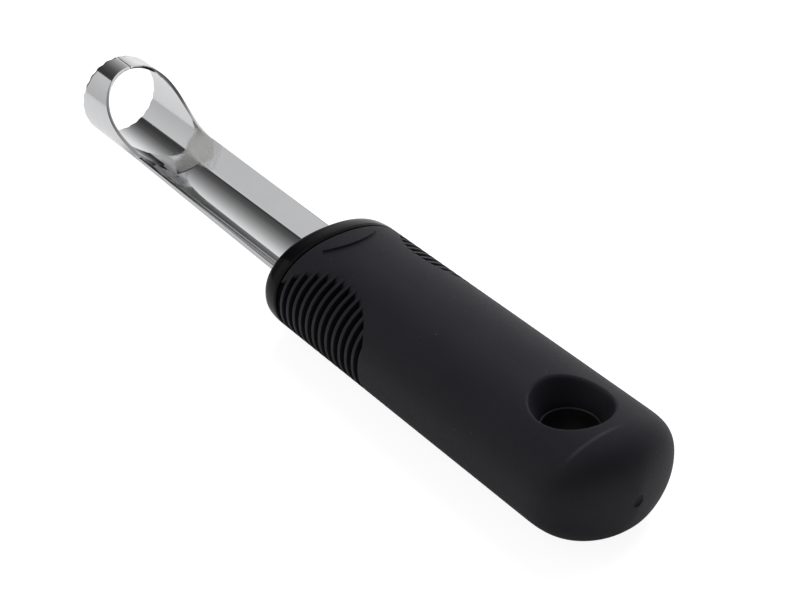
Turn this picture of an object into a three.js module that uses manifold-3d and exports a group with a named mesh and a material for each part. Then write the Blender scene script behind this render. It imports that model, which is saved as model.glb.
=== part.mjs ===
// Apple corer: a one-piece steel coring blade in a soft oval handle.
// Millimetres. X runs along the tool towards the cutting ring, Z is up.
// Shapes are laid out about the handle's axis, with x = 0 at the front edge of the grip.
// The finished tool lies on the flat strip under its grip, with the origin under its middle.

import * as THREE from 'three';
import { mergeVertices } from 'three/addons/utils/BufferGeometryUtils.js';
import Module from 'manifold-3d';

const wasm = await Module();
wasm.setup();

// Clearance left between two pieces that seat against each other
const seat_gap = 0.3;

// Blade: one sheet, from the cutting ring to the tang
const sheet_thickness = 0.8;
const blade_reach = 94.2; // grip's front edge to the tips of the scallops
const ring_radius = 10.1;
const ring_axis_height = 5.25; // above the handle's axis
const ring_length = 6.5; // along the seam on top
const seam_gap = 0.25;
const scallop_count = 24;
const scallop_depth = 0.35;
const edge_bevel_length = 1.6;
const edge_thickness = 0.3;
const sweep_length = 25.6; // from the ring's back edge down to the trough's rim
const sweep_foot_pull = 15.3; // how far the sweep hugs the trough's rim before it rises,
const sweep_foot_rise = 0.3; // and how much it lifts there
const sweep_top_fall = 9.5; // slant of the sweep under the ring's back edge: how far down,
const sweep_top_lean = 5.5; // and how far back
const trough_rim_height = 1.06;
const ramp_start = 21.2; // behind the ring's tips, where the trough starts to drop
const ramp_length = 7.5;
const ramp_rounding = 0.12; // share of the ramp that is rounded at each end
const neck_rim_height = 1.22;
const neck_wall_turn = 0.888; // radians that the side walls lean up at the ramp's foot
const shank_half_width = 10.1;
const shank_depth = 5.25; // handle's axis down to the shank's underside
const shank_rim_drop = 0.08; // rims at the collar, under the handle's axis
const shank_wall_turn = 0.696; // radians that the side walls lean up at the collar
const shank_bend = 3.8; // outside radius of the bend between floor and wall
const floor_turn = 0.436; // radians that the shallow floor has curved where a bend starts
const tang_length = 40; // part of the shank inside the handle

// Lock: a peg of the core through the tang
const peg_radius = 2.2;
const peg_from_tang_end = 12;

// Core: the stiff bar inside the grip, a socket for the tang and a plate with the hanging eye
const socket_wall = 1.7; // plastic around the tang
const socket_end_wall = 8; // plastic behind the tang
const socket_corner = 6;
const plate_thickness = 11;
const plate_corner = 4.5;
const eye_radius = 5.6;

// Grip: the soft sleeve over the core
const grip_length = 94.2;
const grip_side_wall = 4.6; // rubber beside the core
const grip_broad_wall = 3.95; // rubber over and under the socket
const grip_squareness = 2.2; // exponent of the oval section, where 2 is an ellipse
const rest_flat_width = 8; // flat strip along the underside
const tail_length = 10; // rounded end
const tail_plan_squareness = 1.6;
const tail_side_squareness = 2.45;
const tail_wall = 7.5; // rubber behind the core
const gate_dimple_radius = 1.2;
const gate_dimple_depth = 0.5;

// Fins: a window of grooves in each narrow side of the grip
const groove_count = 13;
const groove_pitch = 2.35;
const groove_width = 1.45;
const groove_depth = 3;
const window_margin = 1.5; // kept between the window and the broad faces
const window_overrun = 0.6; // how far the window's outline passes the last groove
const window_squareness = 2.5;
const window_skin = 0.6; // how far the groove floor stays under the broad faces

// Badge: a bare raised lens on top, behind the collar
const badge_length = 14; // across the handle
const badge_width = 4.6; // along the handle
const badge_height = 0.5;
const badge_setback = 0.9; // from the grip's front edge

// Hanging hole in the grip, round the core's eye
const hole_from_tail = 19.5; // tail end to the hole's axis
const hole_flare = 2.7; // how much wider its mouths are than the throat
const eye_ledge = 0.3; // how much wider the throat is than the eye

// Collar: the hard band that plugs the grip's mouth
const collar_length = 4.7;
const collar_round = 0.8; // how far the front edge is drawn in,
const collar_round_length = 4.3; // and over what length
const spigot_length = 4;

// Facets
const oval_sides = 48;
const hole_sides = 32;
const ball_sides = 20;
const corner_steps = 3;
const lens_steps = 6;
const tail_steps = 8;
const collar_steps = 4;
const shank_steps = 3;
const ramp_steps = 8;
const sweep_steps = 12;
const sweep_crowding = 1.8; // draws the stations together where the sweep is steepest

// Sizes that follow, from the blade out to the grip
const socket_width = 2 * (shank_half_width + seat_gap + socket_wall);
const socket_thickness = 2 * (shank_depth + seat_gap + socket_wall);
const half_width = socket_width / 2 + seat_gap + grip_side_wall;
const half_thickness = socket_thickness / 2 + seat_gap + grip_broad_wall;
const flat_share = rest_flat_width / 2 / half_width;
const axis_height = half_thickness * (1 - flat_share ** grip_squareness) ** (1 / grip_squareness);

// Places along the tool
const tail_end = -grip_length;
const cavity_end = tail_end + tail_wall;
const core_end = cavity_end + seat_gap;
const core_front = -spigot_length - seat_gap;
const socket_end = -tang_length - seat_gap - socket_end_wall;
const hole_x = tail_end + hole_from_tail;
const peg_x = -tang_length + peg_from_tang_end;
const collar_back = seat_gap;
const collar_front = collar_back + collar_length;
const slot_front = collar_front + seat_gap;
const ring_back = blade_reach - ring_length;
const sweep_end = ring_back - sweep_length;
const ramp_top = blade_reach - ramp_start;
const ramp_foot = ramp_top - ramp_length;
const ring_top = ring_axis_height + ring_radius;

// The shank's floor is as wide as its leaning walls need to end at its half width
const wall_spread = 1 / Math.tan(shank_wall_turn);
const bend_lift = shank_depth - shank_rim_drop - shank_bend * (1 - Math.cos(shank_wall_turn));
const floor_share = shank_half_width - shank_bend * Math.sin(shank_wall_turn) - bend_lift * wall_spread;
const floor_excess = floor_share / (Math.sin(floor_turn) - (1 - Math.cos(floor_turn)) * wall_spread);
const shank_floor = shank_bend + floor_excess; // outside radius of the floor
const bend_side = floor_excess * Math.sin(floor_turn); // centre of a bend, beside the handle's axis
const bend_height = shank_bend - shank_depth + floor_excess * (1 - Math.cos(floor_turn));

// Solids: three.js geometry in and out of the boolean library

function solid(geometry) {
  const bare = new THREE.BufferGeometry();
  bare.setAttribute('position', geometry.getAttribute('position').clone());
  if (geometry.index) bare.setIndex(geometry.index.clone());
  const merged = mergeVertices(bare, 1e-4);
  const vertProperties = new Float32Array(merged.getAttribute('position').array);
  const triVerts = new Uint32Array(merged.index.array);
  return new wasm.Manifold(new wasm.Mesh({ numProp: 3, vertProperties, triVerts }));
}

function geometryOf(body) {
  const mesh = body.getMesh();
  const geometry = new THREE.BufferGeometry();
  geometry.setAttribute('position', new THREE.BufferAttribute(new Float32Array(mesh.vertProperties), 3));
  geometry.setIndex(new THREE.BufferAttribute(new Uint32Array(mesh.triVerts), 1));
  geometry.computeVertexNormals();
  return geometry;
}

function meshGeometry(points, triangles) {
  const geometry = new THREE.BufferGeometry();
  geometry.setFromPoints(points);
  geometry.setIndex(triangles);
  return geometry;
}

// Closed skin over a row of loops along the tool, with a point that closes each end
function loft(loops, firstPoint, lastPoint) {
  const sides = loops[0].length;
  const points = loops.flat().concat([firstPoint, lastPoint]);
  const first = points.length - 2;
  const last = points.length - 1;
  const top = (loops.length - 1) * sides;
  const triangles = [];
  for (let k = 0; k < sides; k++) {
    const next = (k + 1) % sides;
    triangles.push(first, next, k);
    triangles.push(last, top + k, top + next);
    for (let row = 0; row < top; row += sides) {
      triangles.push(row + k, row + next, row + sides + next);
      triangles.push(row + k, row + sides + next, row + sides + k);
    }
  }
  return solid(meshGeometry(points, triangles));
}

// An oval, the handle's unless told otherwise, as [y, z] points counted round from +Y
function ovalLoop(halfY, halfZ, squareness = grip_squareness) {
  const power = 2 / squareness;
  return Array.from({ length: oval_sides }, (unused, k) => {
    const turn = (2 * Math.PI * k) / oval_sides;
    const y = halfY * Math.sign(Math.cos(turn)) * Math.abs(Math.cos(turn)) ** power;
    const z = halfZ * Math.sign(Math.sin(turn)) * Math.abs(Math.sin(turn)) ** power;
    return [y, z];
  });
}

function ovalAt(x, halfY, halfZ) {
  return ovalLoop(halfY, halfZ).map(([y, z]) => new THREE.Vector3(x, y, z));
}

function ovalShape(halfY, halfZ) {
  return new THREE.Shape(ovalLoop(halfY, halfZ).map(([y, z]) => new THREE.Vector2(y, z)));
}

function roundedShape(width, height, corner) {
  const w = width / 2 - corner;
  const h = height / 2 - corner;
  const shape = new THREE.Shape();
  shape.absarc(w, h, corner, 0, Math.PI / 2);
  shape.absarc(-w, h, corner, Math.PI / 2, Math.PI);
  shape.absarc(-w, -h, corner, Math.PI, 1.5 * Math.PI);
  shape.absarc(w, -h, corner, 1.5 * Math.PI, 2 * Math.PI);
  return shape;
}

function extruded(shape, depth, curveSegments) {
  return new THREE.ExtrudeGeometry(shape, { depth, curveSegments, bevelEnabled: false });
}

// Flat outline in Y and Z, run along X
function barAlongX(shape, fromX, toX) {
  const turn = new THREE.Matrix4().makeBasis(
    new THREE.Vector3(0, 1, 0), new THREE.Vector3(0, 0, 1), new THREE.Vector3(1, 0, 0));
  const bar = extruded(shape, toX - fromX, corner_steps).applyMatrix4(turn);
  return solid(bar.translate(fromX, 0, 0));
}

// Round body about an upright axis, from [radius, height] points that start and end on that axis
function turned(profile, x) {
  const points = profile.map(([radius, height]) => new THREE.Vector2(radius, height));
  const geometry = new THREE.LatheGeometry(points, hole_sides);
  return solid(geometry.rotateX(Math.PI / 2).translate(x, 0, 0));
}

function uprightPeg(radius, fromZ, toZ, x) {
  return turned([[0, fromZ], [radius, fromZ], [radius, toZ], [0, toZ]], x);
}

// Cuts the flat strip that the tool rests on
function flattened(body) {
  const table = new THREE.BoxGeometry(4 * grip_length, 4 * half_width, half_thickness);
  return body.subtract(solid(table.translate(0, 0, -axis_height - half_thickness / 2)));
}

// Grip

function gripBody() {
  const loops = [ovalAt(0, half_width, half_thickness)];
  for (let k = 0; k < tail_steps; k++) {
    const share = Math.sin((k / tail_steps) * (Math.PI / 2));
    const plan = (1 - share ** tail_plan_squareness) ** (1 / tail_plan_squareness);
    const side = (1 - share ** tail_side_squareness) ** (1 / tail_side_squareness);
    const x = tail_end + tail_length * (1 - share);
    loops.push(ovalAt(x, half_width * plan, half_thickness * side));
  }
  const skin = loft(loops.reverse(), new THREE.Vector3(tail_end, 0, 0), new THREE.Vector3(0, 0, 0));
  return flattened(skin);
}

// Grooves of one side's fin window; the ribs left between them are the fins
function finGrooves(side) {
  const window_length = groove_count * groove_pitch + window_overrun;
  const window_middle = groove_width / 2 - window_length / 2;
  const reach = 2 * half_width;
  const loop = ovalLoop(window_length / 2, half_thickness - window_margin, window_squareness);
  const outline = new THREE.Shape(loop.map(([along, up]) => new THREE.Vector2(along, up)));
  const turn = new THREE.Matrix4().makeBasis(
    new THREE.Vector3(1, 0, 0), new THREE.Vector3(0, 0, 1), new THREE.Vector3(0, -1, 0));
  const window = extruded(outline, reach, 1).applyMatrix4(turn);
  window.translate(window_middle, side > 0 ? reach : 0, 0);
  const floor = barAlongX(ovalShape(half_width - groove_depth, half_thickness - window_skin),
    -window_length - groove_pitch, groove_pitch);
  let slabs = null;
  for (let k = 0; k < groove_count; k++) {
    const slab = new THREE.BoxGeometry(groove_width, 2 * reach, 2 * half_thickness);
    slab.translate(groove_width / 2 - groove_pitch * (k + 0.5), 0, 0);
    slabs = slabs ? slabs.add(solid(slab)) : solid(slab);
  }
  return slabs.intersect(solid(window)).subtract(floor);
}

// Lens between two equal arcs, raised evenly over the curved top and rooted as deep in it
function badge() {
  const radius = (badge_length ** 2 + badge_width ** 2) / (4 * badge_width);
  const reach = Math.asin(badge_length / 2 / radius);
  const shift = radius - badge_width / 2;
  const outline = new THREE.Shape();
  outline.absarc(-shift, 0, radius, -reach, reach);
  outline.absarc(shift, 0, radius, Math.PI - reach, Math.PI + reach);
  const lens = extruded(outline, 2 * half_thickness, lens_steps);
  lens.translate(-badge_setback - badge_width / 2, 0, 0);
  const skin = (grow) => barAlongX(ovalShape(half_width + grow, half_thickness + grow),
    -badge_setback - 2 * badge_width, 0);
  return solid(lens).intersect(skin(badge_height)).subtract(skin(-badge_height));
}

function holeMouths() {
  const plate = plate_thickness / 2;
  const throat = eye_radius + eye_ledge;
  const beyond = half_thickness + seat_gap;
  const mouth = throat + hole_flare * (beyond - plate) / (half_thickness - plate);
  return turned([
    [0, -beyond], [mouth, -beyond], [throat, -plate], [throat, plate], [mouth, beyond], [0, beyond],
  ], hole_x);
}

function gateDimple() {
  const radius = (gate_dimple_radius ** 2 + gate_dimple_depth ** 2) / (2 * gate_dimple_depth);
  const ball = new THREE.SphereGeometry(radius, ball_sides, ball_sides);
  return solid(ball.translate(tail_end - radius + gate_dimple_depth, 0, 0));
}

function gripSleeve() {
  const room = (thickness, corner) =>
    roundedShape(socket_width + 2 * seat_gap, thickness + 2 * seat_gap, corner);
  return gripBody()
    .subtract(barAlongX(room(socket_thickness, socket_corner), socket_end - seat_gap, groove_pitch))
    .subtract(barAlongX(room(plate_thickness, plate_corner), cavity_end, socket_end))
    .subtract(holeMouths())
    .subtract(finGrooves(1))
    .subtract(finGrooves(-1))
    .subtract(gateDimple())
    .add(badge());
}

// Blade: at each station along the tool the sheet has one section, with its two rims at one height.
// A share of -1 to 1 says how far across the sheet a point lies, from rim to rim.

// Straight ramp from 0 to 1 with rounded ends
function rampShare(share) {
  const s = THREE.MathUtils.clamp(share, 0, 1);
  const r = ramp_rounding;
  const fromEnd = Math.min(s, 1 - s);
  const risen = (fromEnd < r ? fromEnd ** 2 / (2 * r) : fromEnd - r / 2) / (1 - r);
  return s < 0.5 ? risen : 1 - risen;
}

// Outside of the shank: a shallow floor, then a bend and a straight leaning wall on each side
function shankPoint(x, share, grow, offset) {
  const rise = Math.max(x - slot_front, 0) / (ramp_foot - slot_front);
  const rim = THREE.MathUtils.lerp(-shank_rim_drop, neck_rim_height, rise);
  const wall = THREE.MathUtils.lerp(shank_wall_turn, neck_wall_turn, rise);
  const floor = shank_floor * floor_turn;
  const upright = rim - bend_height + shank_bend * Math.cos(wall);
  const reach = floor + shank_bend * (wall - floor_turn) + upright / Math.sin(wall);
  const along = Math.abs(share) * (reach + grow);
  if (along < floor) {
    const turn = along / shank_floor;
    const radius = shank_floor + offset;
    return [radius * Math.sin(turn), shank_floor - shank_depth - radius * Math.cos(turn)];
  }
  const swung = floor_turn + (along - floor) / shank_bend;
  const turn = Math.min(swung, wall);
  const flat = (swung - turn) * shank_bend;
  const radius = shank_bend + offset;
  return [
    bend_side + radius * Math.sin(turn) + flat * Math.cos(turn),
    bend_height - radius * Math.cos(turn) + flat * Math.sin(turn),
  ];
}

// Outside of the trough and the ring: part of a circle, open above the rims
function troughPoint(rim, share, offset) {
  const open = Math.acos(THREE.MathUtils.clamp((ring_axis_height - rim) / ring_radius, -1, 1));
  const turn = Math.abs(share) * Math.min(open, Math.PI - seam_gap / 2 / ring_radius);
  const radius = ring_radius + offset;
  return [radius * Math.sin(turn), ring_axis_height - radius * Math.cos(turn)];
}

// Height of the trough's rims: low at the sweep's foot, closed on top at the ring
function sweepRim(x) {
  const curve = new THREE.CubicBezierCurve(
    new THREE.Vector2(sweep_end, trough_rim_height),
    new THREE.Vector2(sweep_end + sweep_foot_pull, trough_rim_height + sweep_foot_rise),
    new THREE.Vector2(ring_back - sweep_top_lean, ring_top - sweep_top_fall),
    new THREE.Vector2(ring_back, ring_top));
  if (x >= ring_back) return ring_top;
  let low = 0;
  let high = 1;
  for (let k = 0; k < 40; k++) {
    const middle = (low + high) / 2;
    if (curve.getPoint(middle).x < x) low = middle;
    else high = middle;
  }
  return curve.getPoint(low).y;
}

// [y, z] on the sheet's outside at x, moved outwards by an offset
function sheetPoint(x, share, grow, offset) {
  const drop = rampShare((ramp_top - x) / ramp_length);
  const shank = shankPoint(x, share, grow, offset);
  const trough = troughPoint(sweepRim(x), share, offset);
  const y = THREE.MathUtils.lerp(trough[0], shank[0], drop);
  return [Math.sign(share) * y, THREE.MathUtils.lerp(trough[1], shank[1], drop)];
}

function evenly(from, to, steps) {
  return Array.from({ length: steps }, (unused, k) => THREE.MathUtils.lerp(from, to, k / steps));
}

function station(x) {
  return { x, bevel: 0, scallop: 0 };
}

// Stations from the tang's end to the back of the ring
function bladeStations() {
  const crowded = evenly(0, 1, sweep_steps).map((share) => 1 - (1 - share) ** sweep_crowding);
  return [
    -tang_length,
    ...evenly(slot_front, ramp_foot, shank_steps),
    ...evenly(ramp_foot, ramp_top, ramp_steps),
    ...crowded.map((share) => THREE.MathUtils.lerp(ramp_top, ring_back, share)),
    ring_back,
  ].map(station);
}

// Closed sheet over the stations; grow widens it on every side for the slot that holds it
function sheet(stations, grow) {
  const columns = 2 * scallop_count;
  const skin = (offset) => stations.flatMap((s) => Array.from({ length: columns + 1 }, (unused, k) => {
    const inwards = offset < 0 ? offset + s.bevel : offset;
    const [y, z] = sheetPoint(s.x, (2 * k) / columns - 1, grow, inwards);
    return new THREE.Vector3(s.x - (k % 2) * s.scallop, y, z);
  }));
  const points = skin(grow).concat(skin(-sheet_thickness - grow));
  const row = columns + 1;
  const inner = stations.length * row;
  const triangles = [];
  const quad = (a, b, c, d) => triangles.push(a, b, c, a, c, d);
  for (let i = 0; i < stations.length - 1; i++) {
    const at = i * row;
    for (let k = 0; k < columns; k++) {
      quad(at + k, at + k + 1, at + row + k + 1, at + row + k);
      quad(inner + at + k + 1, inner + at + k, inner + at + row + k, inner + at + row + k + 1);
    }
    quad(at + row, inner + at + row, inner + at, at);
    const far = at + columns;
    quad(far, inner + far, inner + far + row, far + row);
  }
  const lastRow = (stations.length - 1) * row;
  for (let k = 0; k < columns; k++) {
    quad(k + 1, k, inner + k, inner + k + 1);
    quad(lastRow + k, lastRow + k + 1, inner + lastRow + k + 1, inner + lastRow + k);
  }
  return solid(meshGeometry(points, triangles));
}

function corerBlade() {
  const bevel = station(blade_reach - edge_bevel_length);
  const tips = station(blade_reach);
  tips.bevel = sheet_thickness - edge_thickness;
  tips.scallop = scallop_depth;
  const hole = uprightPeg(peg_radius + seat_gap, -half_thickness, 0, peg_x);
  return sheet([...bladeStations(), bevel, tips], 0).subtract(hole);
}

// Slot that the tang sits in, with the lock's peg left standing through it
function tangSlot() {
  const ends = [-tang_length - seat_gap, slot_front];
  const peg = uprightPeg(peg_radius, -half_thickness, 0, peg_x);
  return sheet(ends.map(station), seat_gap).subtract(peg);
}

function handleCore() {
  const socket = roundedShape(socket_width, socket_thickness, socket_corner);
  const plate = roundedShape(socket_width, plate_thickness, plate_corner);
  const eye = uprightPeg(eye_radius, -half_thickness, half_thickness, hole_x);
  return barAlongX(socket, socket_end, core_front)
    .add(barAlongX(plate, core_end, socket_end + seat_gap))
    .subtract(eye)
    .subtract(tangSlot());
}

function frontCollar() {
  const loops = [ovalAt(collar_back, half_width, half_thickness)];
  for (let k = 0; k <= collar_steps; k++) {
    const turn = (k / collar_steps) * (Math.PI / 2);
    const inset = collar_round * (1 - Math.cos(turn));
    const x = collar_front - collar_round_length * (1 - Math.sin(turn));
    loops.push(ovalAt(x, half_width - inset, half_thickness - inset));
  }
  const skin = loft(loops, new THREE.Vector3(collar_back, 0, 0), new THREE.Vector3(collar_front, 0, 0));
  const spigot = roundedShape(socket_width, socket_thickness, socket_corner);
  return flattened(skin)
    .add(barAlongX(spigot, -spigot_length, collar_back + seat_gap))
    .subtract(tangSlot());
}

// Assembly

function piece(name, body, color, roughness, metalness) {
  const material = new THREE.MeshStandardMaterial({ color, roughness, metalness });
  const mesh = new THREE.Mesh(geometryOf(body), material);
  mesh.name = name;
  return mesh;
}

const tool = new THREE.Group();
tool.add(piece('corer_blade', corerBlade(), 0xc4c6c8, 0.12, 1));
tool.add(piece('front_collar', frontCollar(), 0x0c0c0e, 0.25, 0));
tool.add(piece('handle_core', handleCore(), 0x1b1b1d, 0.45, 0));
tool.add(piece('grip_sleeve', gripSleeve(), 0x252529, 0.8, 0));
tool.position.set((grip_length - blade_reach) / 2, 0, axis_height);

export default tool;
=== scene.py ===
# %% [markdown]
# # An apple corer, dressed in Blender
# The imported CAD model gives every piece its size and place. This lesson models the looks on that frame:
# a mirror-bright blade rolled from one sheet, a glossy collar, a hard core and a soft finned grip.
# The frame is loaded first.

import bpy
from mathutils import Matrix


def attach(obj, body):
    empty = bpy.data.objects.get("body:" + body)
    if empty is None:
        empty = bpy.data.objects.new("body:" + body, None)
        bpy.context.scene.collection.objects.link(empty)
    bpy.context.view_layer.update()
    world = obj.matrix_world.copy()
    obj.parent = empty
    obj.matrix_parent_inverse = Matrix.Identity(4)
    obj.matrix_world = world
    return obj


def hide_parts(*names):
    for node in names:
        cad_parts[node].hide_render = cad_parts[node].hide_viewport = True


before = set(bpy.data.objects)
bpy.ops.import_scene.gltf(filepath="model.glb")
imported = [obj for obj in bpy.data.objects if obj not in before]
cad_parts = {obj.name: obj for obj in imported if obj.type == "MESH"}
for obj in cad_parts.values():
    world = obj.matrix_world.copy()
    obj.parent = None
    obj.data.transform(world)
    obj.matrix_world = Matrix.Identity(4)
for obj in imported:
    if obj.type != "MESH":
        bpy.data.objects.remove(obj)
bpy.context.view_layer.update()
print("CAD nodes:", ", ".join(sorted(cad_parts)))

# %% [markdown]
# ## Picking by place
# A modelling operator acts on whatever is selected, and the imported nodes start out selected.
# So every step begins with nothing selected, and then picks points, edges or faces by where they are.
# A few small helpers do that for the whole lesson.

# %% Helpers that read a mesh
import math
import bpy
import numpy as np
from mathutils import Matrix, Vector

mm = 0.001


def elements(piece, kind):
    """The points, edges or faces of a piece."""
    return {"VERT": piece.data.vertices, "EDGE": piece.data.edges, "FACE": piece.data.polygons}[kind]


def numbers(group, name, width, kind=float):
    """The numbers that each point, edge or face keeps under a name, one row each."""
    values = np.empty(len(group) * width, kind)
    group.foreach_get(name, values)
    return values.reshape(-1, width)


def places(piece, kind="VERT"):
    """The places of a piece's points, edge middles or face middles, one row of x, y, z each."""
    if kind == "FACE":
        return numbers(piece.data.polygons, "center", 3)
    points = numbers(piece.data.vertices, "co", 3)
    if kind == "EDGE":
        return points[numbers(piece.data.edges, "vertices", 2, int)].mean(1)
    return points


def selected(piece, kind):
    """Leaves edit mode and says which points, edges or faces are selected."""
    bpy.ops.object.mode_set(mode="OBJECT")
    return numbers(elements(piece, kind), "select", 1, bool)[:, 0]


print("the mesh can be read by place")

# %% Helpers that pick and move
def clear_selection():
    """Leaves edit mode and deselects every object."""
    if bpy.context.object and bpy.context.object.mode != "OBJECT":
        bpy.ops.object.mode_set(mode="OBJECT")
    bpy.ops.object.select_all(action="DESELECT")


def pick(piece, kind, wanted):
    """Goes into edit mode with just the wanted points, edges or faces selected."""
    bpy.ops.object.mode_set(mode="EDIT")
    bpy.ops.mesh.select_mode(type=kind)
    bpy.ops.mesh.select_all(action="DESELECT")
    bpy.ops.object.mode_set(mode="OBJECT")
    elements(piece, kind).foreach_set("select", np.asarray(wanted, bool))
    bpy.ops.object.mode_set(mode="EDIT")


def move_points(piece, points):
    """Puts a piece's points at new places, outside edit mode."""
    bpy.ops.object.mode_set(mode="OBJECT")
    piece.data.vertices.foreach_set("co", np.asarray(points, float).ravel())
    piece.data.update()


def face_outwards():
    """Turns every face of the active piece outwards and leaves edit mode."""
    bpy.ops.object.mode_set(mode="EDIT")
    bpy.ops.mesh.select_all(action="SELECT")
    bpy.ops.mesh.normals_make_consistent(inside=False)
    bpy.ops.object.mode_set(mode="OBJECT")


clear_selection()
print("nothing is selected, and the helpers are ready")

# %% [markdown]
# ## The oval that the handle is built on
# Cut across, the handle is a superellipse: an oval a little squarer than an ellipse, 34 by 23 mm.
# It lies on a flat strip 8 mm wide, so the handle's axis is slightly lower than half the thickness.
# No operator draws this oval, so a circle's points are slid onto it with its formula.

# %% The oval's formula
half_width, half_thickness, squareness = 17 * mm, 11.5 * mm, 2.2
strip_width = 8 * mm
axis_height = half_thickness * (1 - (strip_width / 2 / half_width) ** squareness) ** (1 / squareness)


def oval(turn):
    """The point (y, height over the axis) of the full-size oval at a turn from the near narrow side."""
    c, s = np.cos(turn), np.sin(turn)
    return (half_width * np.sign(c) * np.abs(c) ** (2 / squareness),
            half_thickness * np.sign(s) * np.abs(s) ** (2 / squareness))


def turn_of(y, height):
    """The turn at which the oval, grown or shrunk, passes through a point."""
    c, s = y / half_width, height / half_thickness
    return np.arctan2(np.sign(s) * np.abs(s) ** (squareness / 2), np.sign(c) * np.abs(c) ** (squareness / 2))


def size_on_oval(points):
    """How large the oval through each point is, as a share of the full one."""
    return ((np.abs(points[:, 1]) / half_width) ** squareness
            + (np.abs(points[:, 2] - axis_height) / half_thickness) ** squareness) ** (1 / squareness)


def ramp(t):
    """0 to 1 with soft ends."""
    t = np.clip(t, 0, 1)
    return t * t * (3 - 2 * t)


print("the handle's axis is", round(axis_height / mm, 2), "mm above the surface")

# %% A ring on the oval, and how to draw it out
ring_points = 320


def inset_stop(x, inwards):
    """A stop with the full oval moved in by a length. A stop is x and the shares of width and thickness."""
    return (x, 1 - inwards / half_width, 1 - inwards / half_thickness)


def oval_ring(name, x, share_y, share_z):
    """A filled ring on the oval, at x, with the given shares of the full width and thickness."""
    clear_selection()
    bpy.ops.mesh.primitive_circle_add(vertices=ring_points, radius=half_width, fill_type="NGON",
                                      location=(x, 0, axis_height), rotation=(0, math.pi / 2, 0))
    piece = bpy.context.object
    piece.name = piece.data.name = name
    bpy.ops.object.transform_apply(location=True, rotation=True, scale=True)
    points = places(piece)
    y, height = oval(np.arctan2(points[:, 2] - axis_height, points[:, 1]))
    move_points(piece, np.stack([points[:, 0], y * share_y, axis_height + height * share_z], 1))
    return piece


def draw_out(stops):
    """Extrudes the active ring from stop to stop."""
    bpy.ops.object.mode_set(mode="EDIT")
    bpy.ops.mesh.select_mode(type="EDGE")
    bpy.ops.mesh.select_all(action="SELECT")
    for (x0, y0, z0), (x1, y1, z1) in zip(stops, stops[1:]):
        bpy.ops.mesh.extrude_edges_move(TRANSFORM_OT_translate={"value": (x1 - x0, 0, 0)})
        if (y0, z0) != (y1, z1):
            bpy.ops.transform.resize(value=(1, y1 / y0, z1 / z0), center_override=(x1, 0, axis_height))


print("rings have", ring_points, "points")

# %% [markdown]
# ## The grip's skin
# The real grip is one soft moulding. It could be a cylinder squashed into shape, but then the tail and
# the fins would have no points where they need them. Here one ring starts inside the mouth and is drawn
# out: over the front lip, along the fins with a stop at each groove's edge, past the hanging hole
# with close stops, and into the tail, where it shrinks by two curves, one in plan and one in side view.

# %% Curves of the tail
grip_end, hole_x = -94.2 * mm, -74.7 * mm
plan_from, plan_length, plan_bow, plan_close = -80 * mm, 14.2 * mm, 2.95, 1.4
side_from, side_length, side_bow = -84.2 * mm, 10 * mm, 2.45


def plan_share(x):
    """The share of the full width that is left at x, seen from above."""
    past = np.clip((plan_from - x) / plan_length, 0, 1)
    return (1 - past ** plan_bow) ** (1 / plan_close)


def side_share(x):
    """The share of the full thickness that is left at x, seen from the side."""
    past = np.clip((side_from - x) / side_length, 0, 1)
    return (1 - past ** side_bow) ** (1 / side_bow)


print("the tail shrinks over", plan_length / mm, "mm in plan and", side_length / mm, "mm in side view")

# %% Stops along the grip
groove_pitch, groove_width, groove_count, first_back = 2.33 * mm, 1.45 * mm, 13, -1.515 * mm
groove_edges = [(first_back - groove_pitch * k, first_back - groove_pitch * k + groove_width)
                for k in range(groove_count)]
lip_round, mouth_depth, mouth_shares = 0.5 * mm, 3.5 * mm, (0.735, 0.668)
lip = [(-mouth_depth, *mouth_shares), (0, *mouth_shares)]
for a in np.radians((90, 65, 40, 18)):
    lip.append(inset_stop(lip_round * (math.sin(a) - 1), lip_round * (1 - math.cos(a))))
at_grooves = {x for pair in groove_edges for x in pair if x < -lip_round}
behind_fins = {x * mm for x in (-30.1, -31, -32, -33.2, -34.6)}
in_middle = set(np.linspace(-36 * mm, hole_x + 12 * mm, 13))
round_hole = set(np.linspace(hole_x + 11.25 * mm, -84 * mm, 28))
in_tail = {grip_end + side_length * (1 - math.sin(a)) for a in np.linspace(0.02, math.pi / 2, 44)[:-1]}
at_crease = set(np.linspace(-85 * mm, -87 * mm, 11))
along = {-lip_round} | at_grooves | behind_fins | in_middle | round_hole | in_tail | at_crease
straight = [(x, float(plan_share(x)), float(side_share(x))) for x in sorted(along, reverse=True)]
print(len(lip) + len(straight), "stops")

# %% Draw the skin out and close it
grip = oval_ring("soft_grip", *lip[0])
draw_out(lip + straight)
bpy.ops.mesh.extrude_edges_move(TRANSFORM_OT_translate={"value": (grip_end - straight[-1][0], 0, 0)})
bpy.ops.mesh.merge(type="CENTER")
bpy.ops.object.mode_set(mode="OBJECT")
print("grip skin:", len(grip.data.vertices), "points")

# %% [markdown]
# ## The window of fins
# Each narrow side has a window of thin fins, which gives the fingers a hold. The window's outline is a
# squarish oval. To end the grooves on that outline, the points are first slid around the handle until
# one row of them follows it. Then the faces between the grooves' edges are picked, extruded and squeezed
# towards the axis, less and less towards their ends. The fins are what is left between, and a small bevel
# takes off their sharp edges.

# %% Slide the points so that one row follows the window
window_middle, window_half, window_height, window_squareness = -14.85 * mm, 15.575 * mm, 10.3 * mm, 2.5
window_back, swing_length, slide_end = -29.5 * mm, 5.5 * mm, -35 * mm
window_row, quarter = math.radians(56.25), math.pi / 2


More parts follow.
